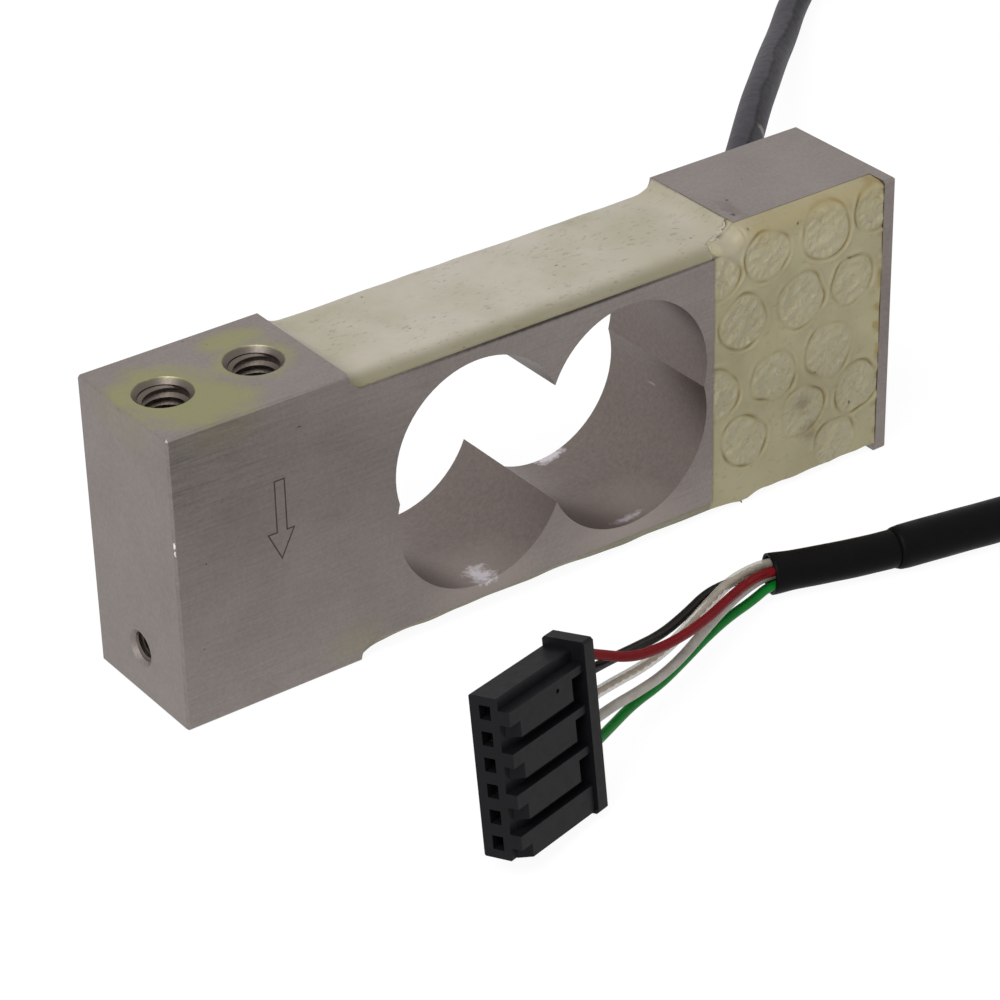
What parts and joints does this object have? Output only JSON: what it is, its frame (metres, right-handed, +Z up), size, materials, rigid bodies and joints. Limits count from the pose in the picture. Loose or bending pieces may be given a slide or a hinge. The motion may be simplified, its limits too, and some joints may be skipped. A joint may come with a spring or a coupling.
{
  "type": "weighing load cell",
  "caption": "Single-point weighing cell: a milled aluminium beam with a lobed window, potted strain gauges, and a sleeved cable ending in a crimp connector.",
  "frame": {"origin": "centre of the beam's underside", "axes": "+X along the beam from the load end to the fixed end, +Y to the face that the cable leaves, +Z up"},
  "size_m": [0.2056, 0.1472, 0.032],
  "materials": {
    "beam_aluminium": "milled, brushed along its length",
    "gauge_film": "polyimide film with foil grid",
    "tinned_copper": "tinned copper ribbon",
    "board_laminate": "solder-masked glass-epoxy laminate",
    "resistor_ceramic": "film resistor chips",
    "solder": "solder",
    "conductor_insulation": "thin insulation",
    "potting_rubber": "cast silicone, satin",
    "seal_silicone": "clear silicone bead",
    "jacket_pvc": "satin cable jacket",
    "shrink_sleeve": "heat-shrink tube",
    "wire_red": "wire insulation",
    "wire_black": "wire insulation",
    "wire_white": "wire insulation",
    "wire_green": "wire insulation",
    "drain_tube": "clear tube",
    "drain_strands": "twisted tinned strands",
    "housing_nylon": "moulded, satin",
    "contact_metal": "tinned phosphor bronze"
  },
  "bodies": {
    "root": {"spring_element": "beam_aluminium", "strain_gauge_upper_left": "gauge_film", "strain_gauge_upper_right": "gauge_film", "strain_gauge_lower_left": "gauge_film", "strain_gauge_lower_right": "gauge_film", "upper_gauge_leads": "tinned_copper", "lower_gauge_leads": "tinned_copper", "wiring_board": "board_laminate", "board_resistors": "resistor_ceramic", "board_terminals": "solder", "pocket_conductors": "conductor_insulation", "upper_sealant": "potting_rubber", "lower_sealant": "potting_rubber", "pocket_sealant": "potting_rubber", "cable_seal": "seal_silicone", "cable_jacket": "jacket_pvc", "thin_sleeve": "shrink_sleeve", "thick_sleeve": "shrink_sleeve", "red_wire": "wire_red", "black_wire": "wire_black", "white_wire": "wire_white", "green_wire": "wire_green", "drain_sleeve": "drain_tube", "drain_wire": "drain_strands", "connector_housing": "housing_nylon", "crimp_contacts": "contact_metal"}
  },
  "joints": []
}
